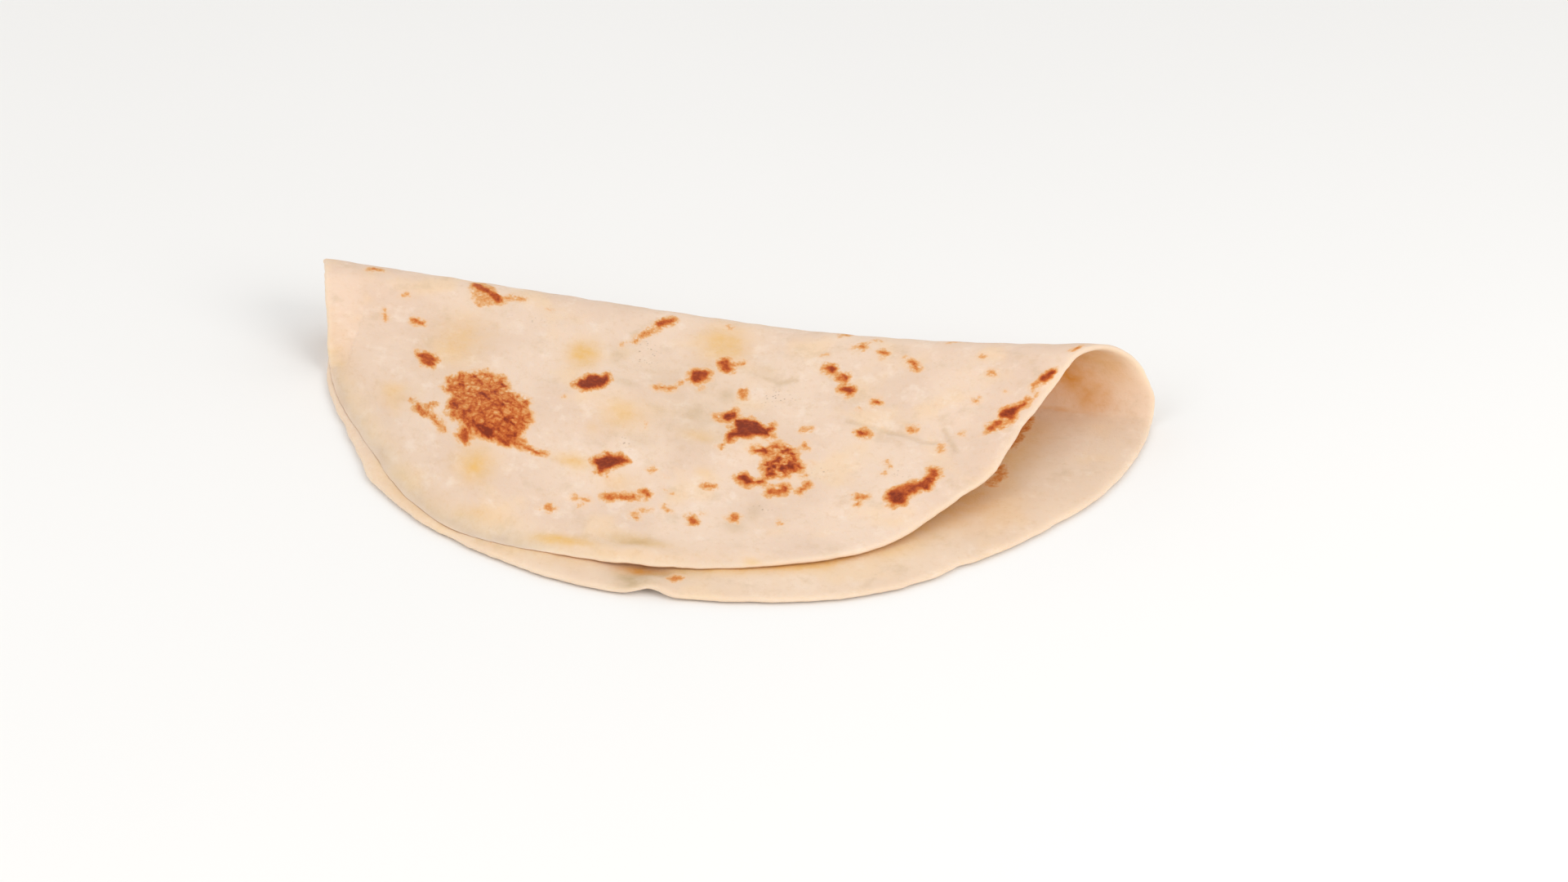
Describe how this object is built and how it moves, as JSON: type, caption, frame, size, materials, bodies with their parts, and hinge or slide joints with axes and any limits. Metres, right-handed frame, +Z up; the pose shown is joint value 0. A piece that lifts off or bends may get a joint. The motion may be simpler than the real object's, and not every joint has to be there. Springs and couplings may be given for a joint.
{
  "type": "flour tortilla",
  "caption": "Soft wheat flatbread folded into a half-moon: a thin toasted sheet with an open roll along the fold, a wide mouth at one end, layers that touch along the front and an uneven rim.",
  "frame": {"origin": "bottom centre of the folded piece's box, on the plane that it rests on", "axes": "+X along the fold, towards the wider open mouth; +Y back towards the fold; +Z up"},
  "size_m": [0.258, 0.127, 0.0277],
  "materials": {
    "baked_dough": "matte pale cream baked wheat dough with toasted brown blisters and translucent yellow patches"
  },
  "bodies": {
    "root": {"tortilla": "baked_dough"}
  },
  "joints": []
}
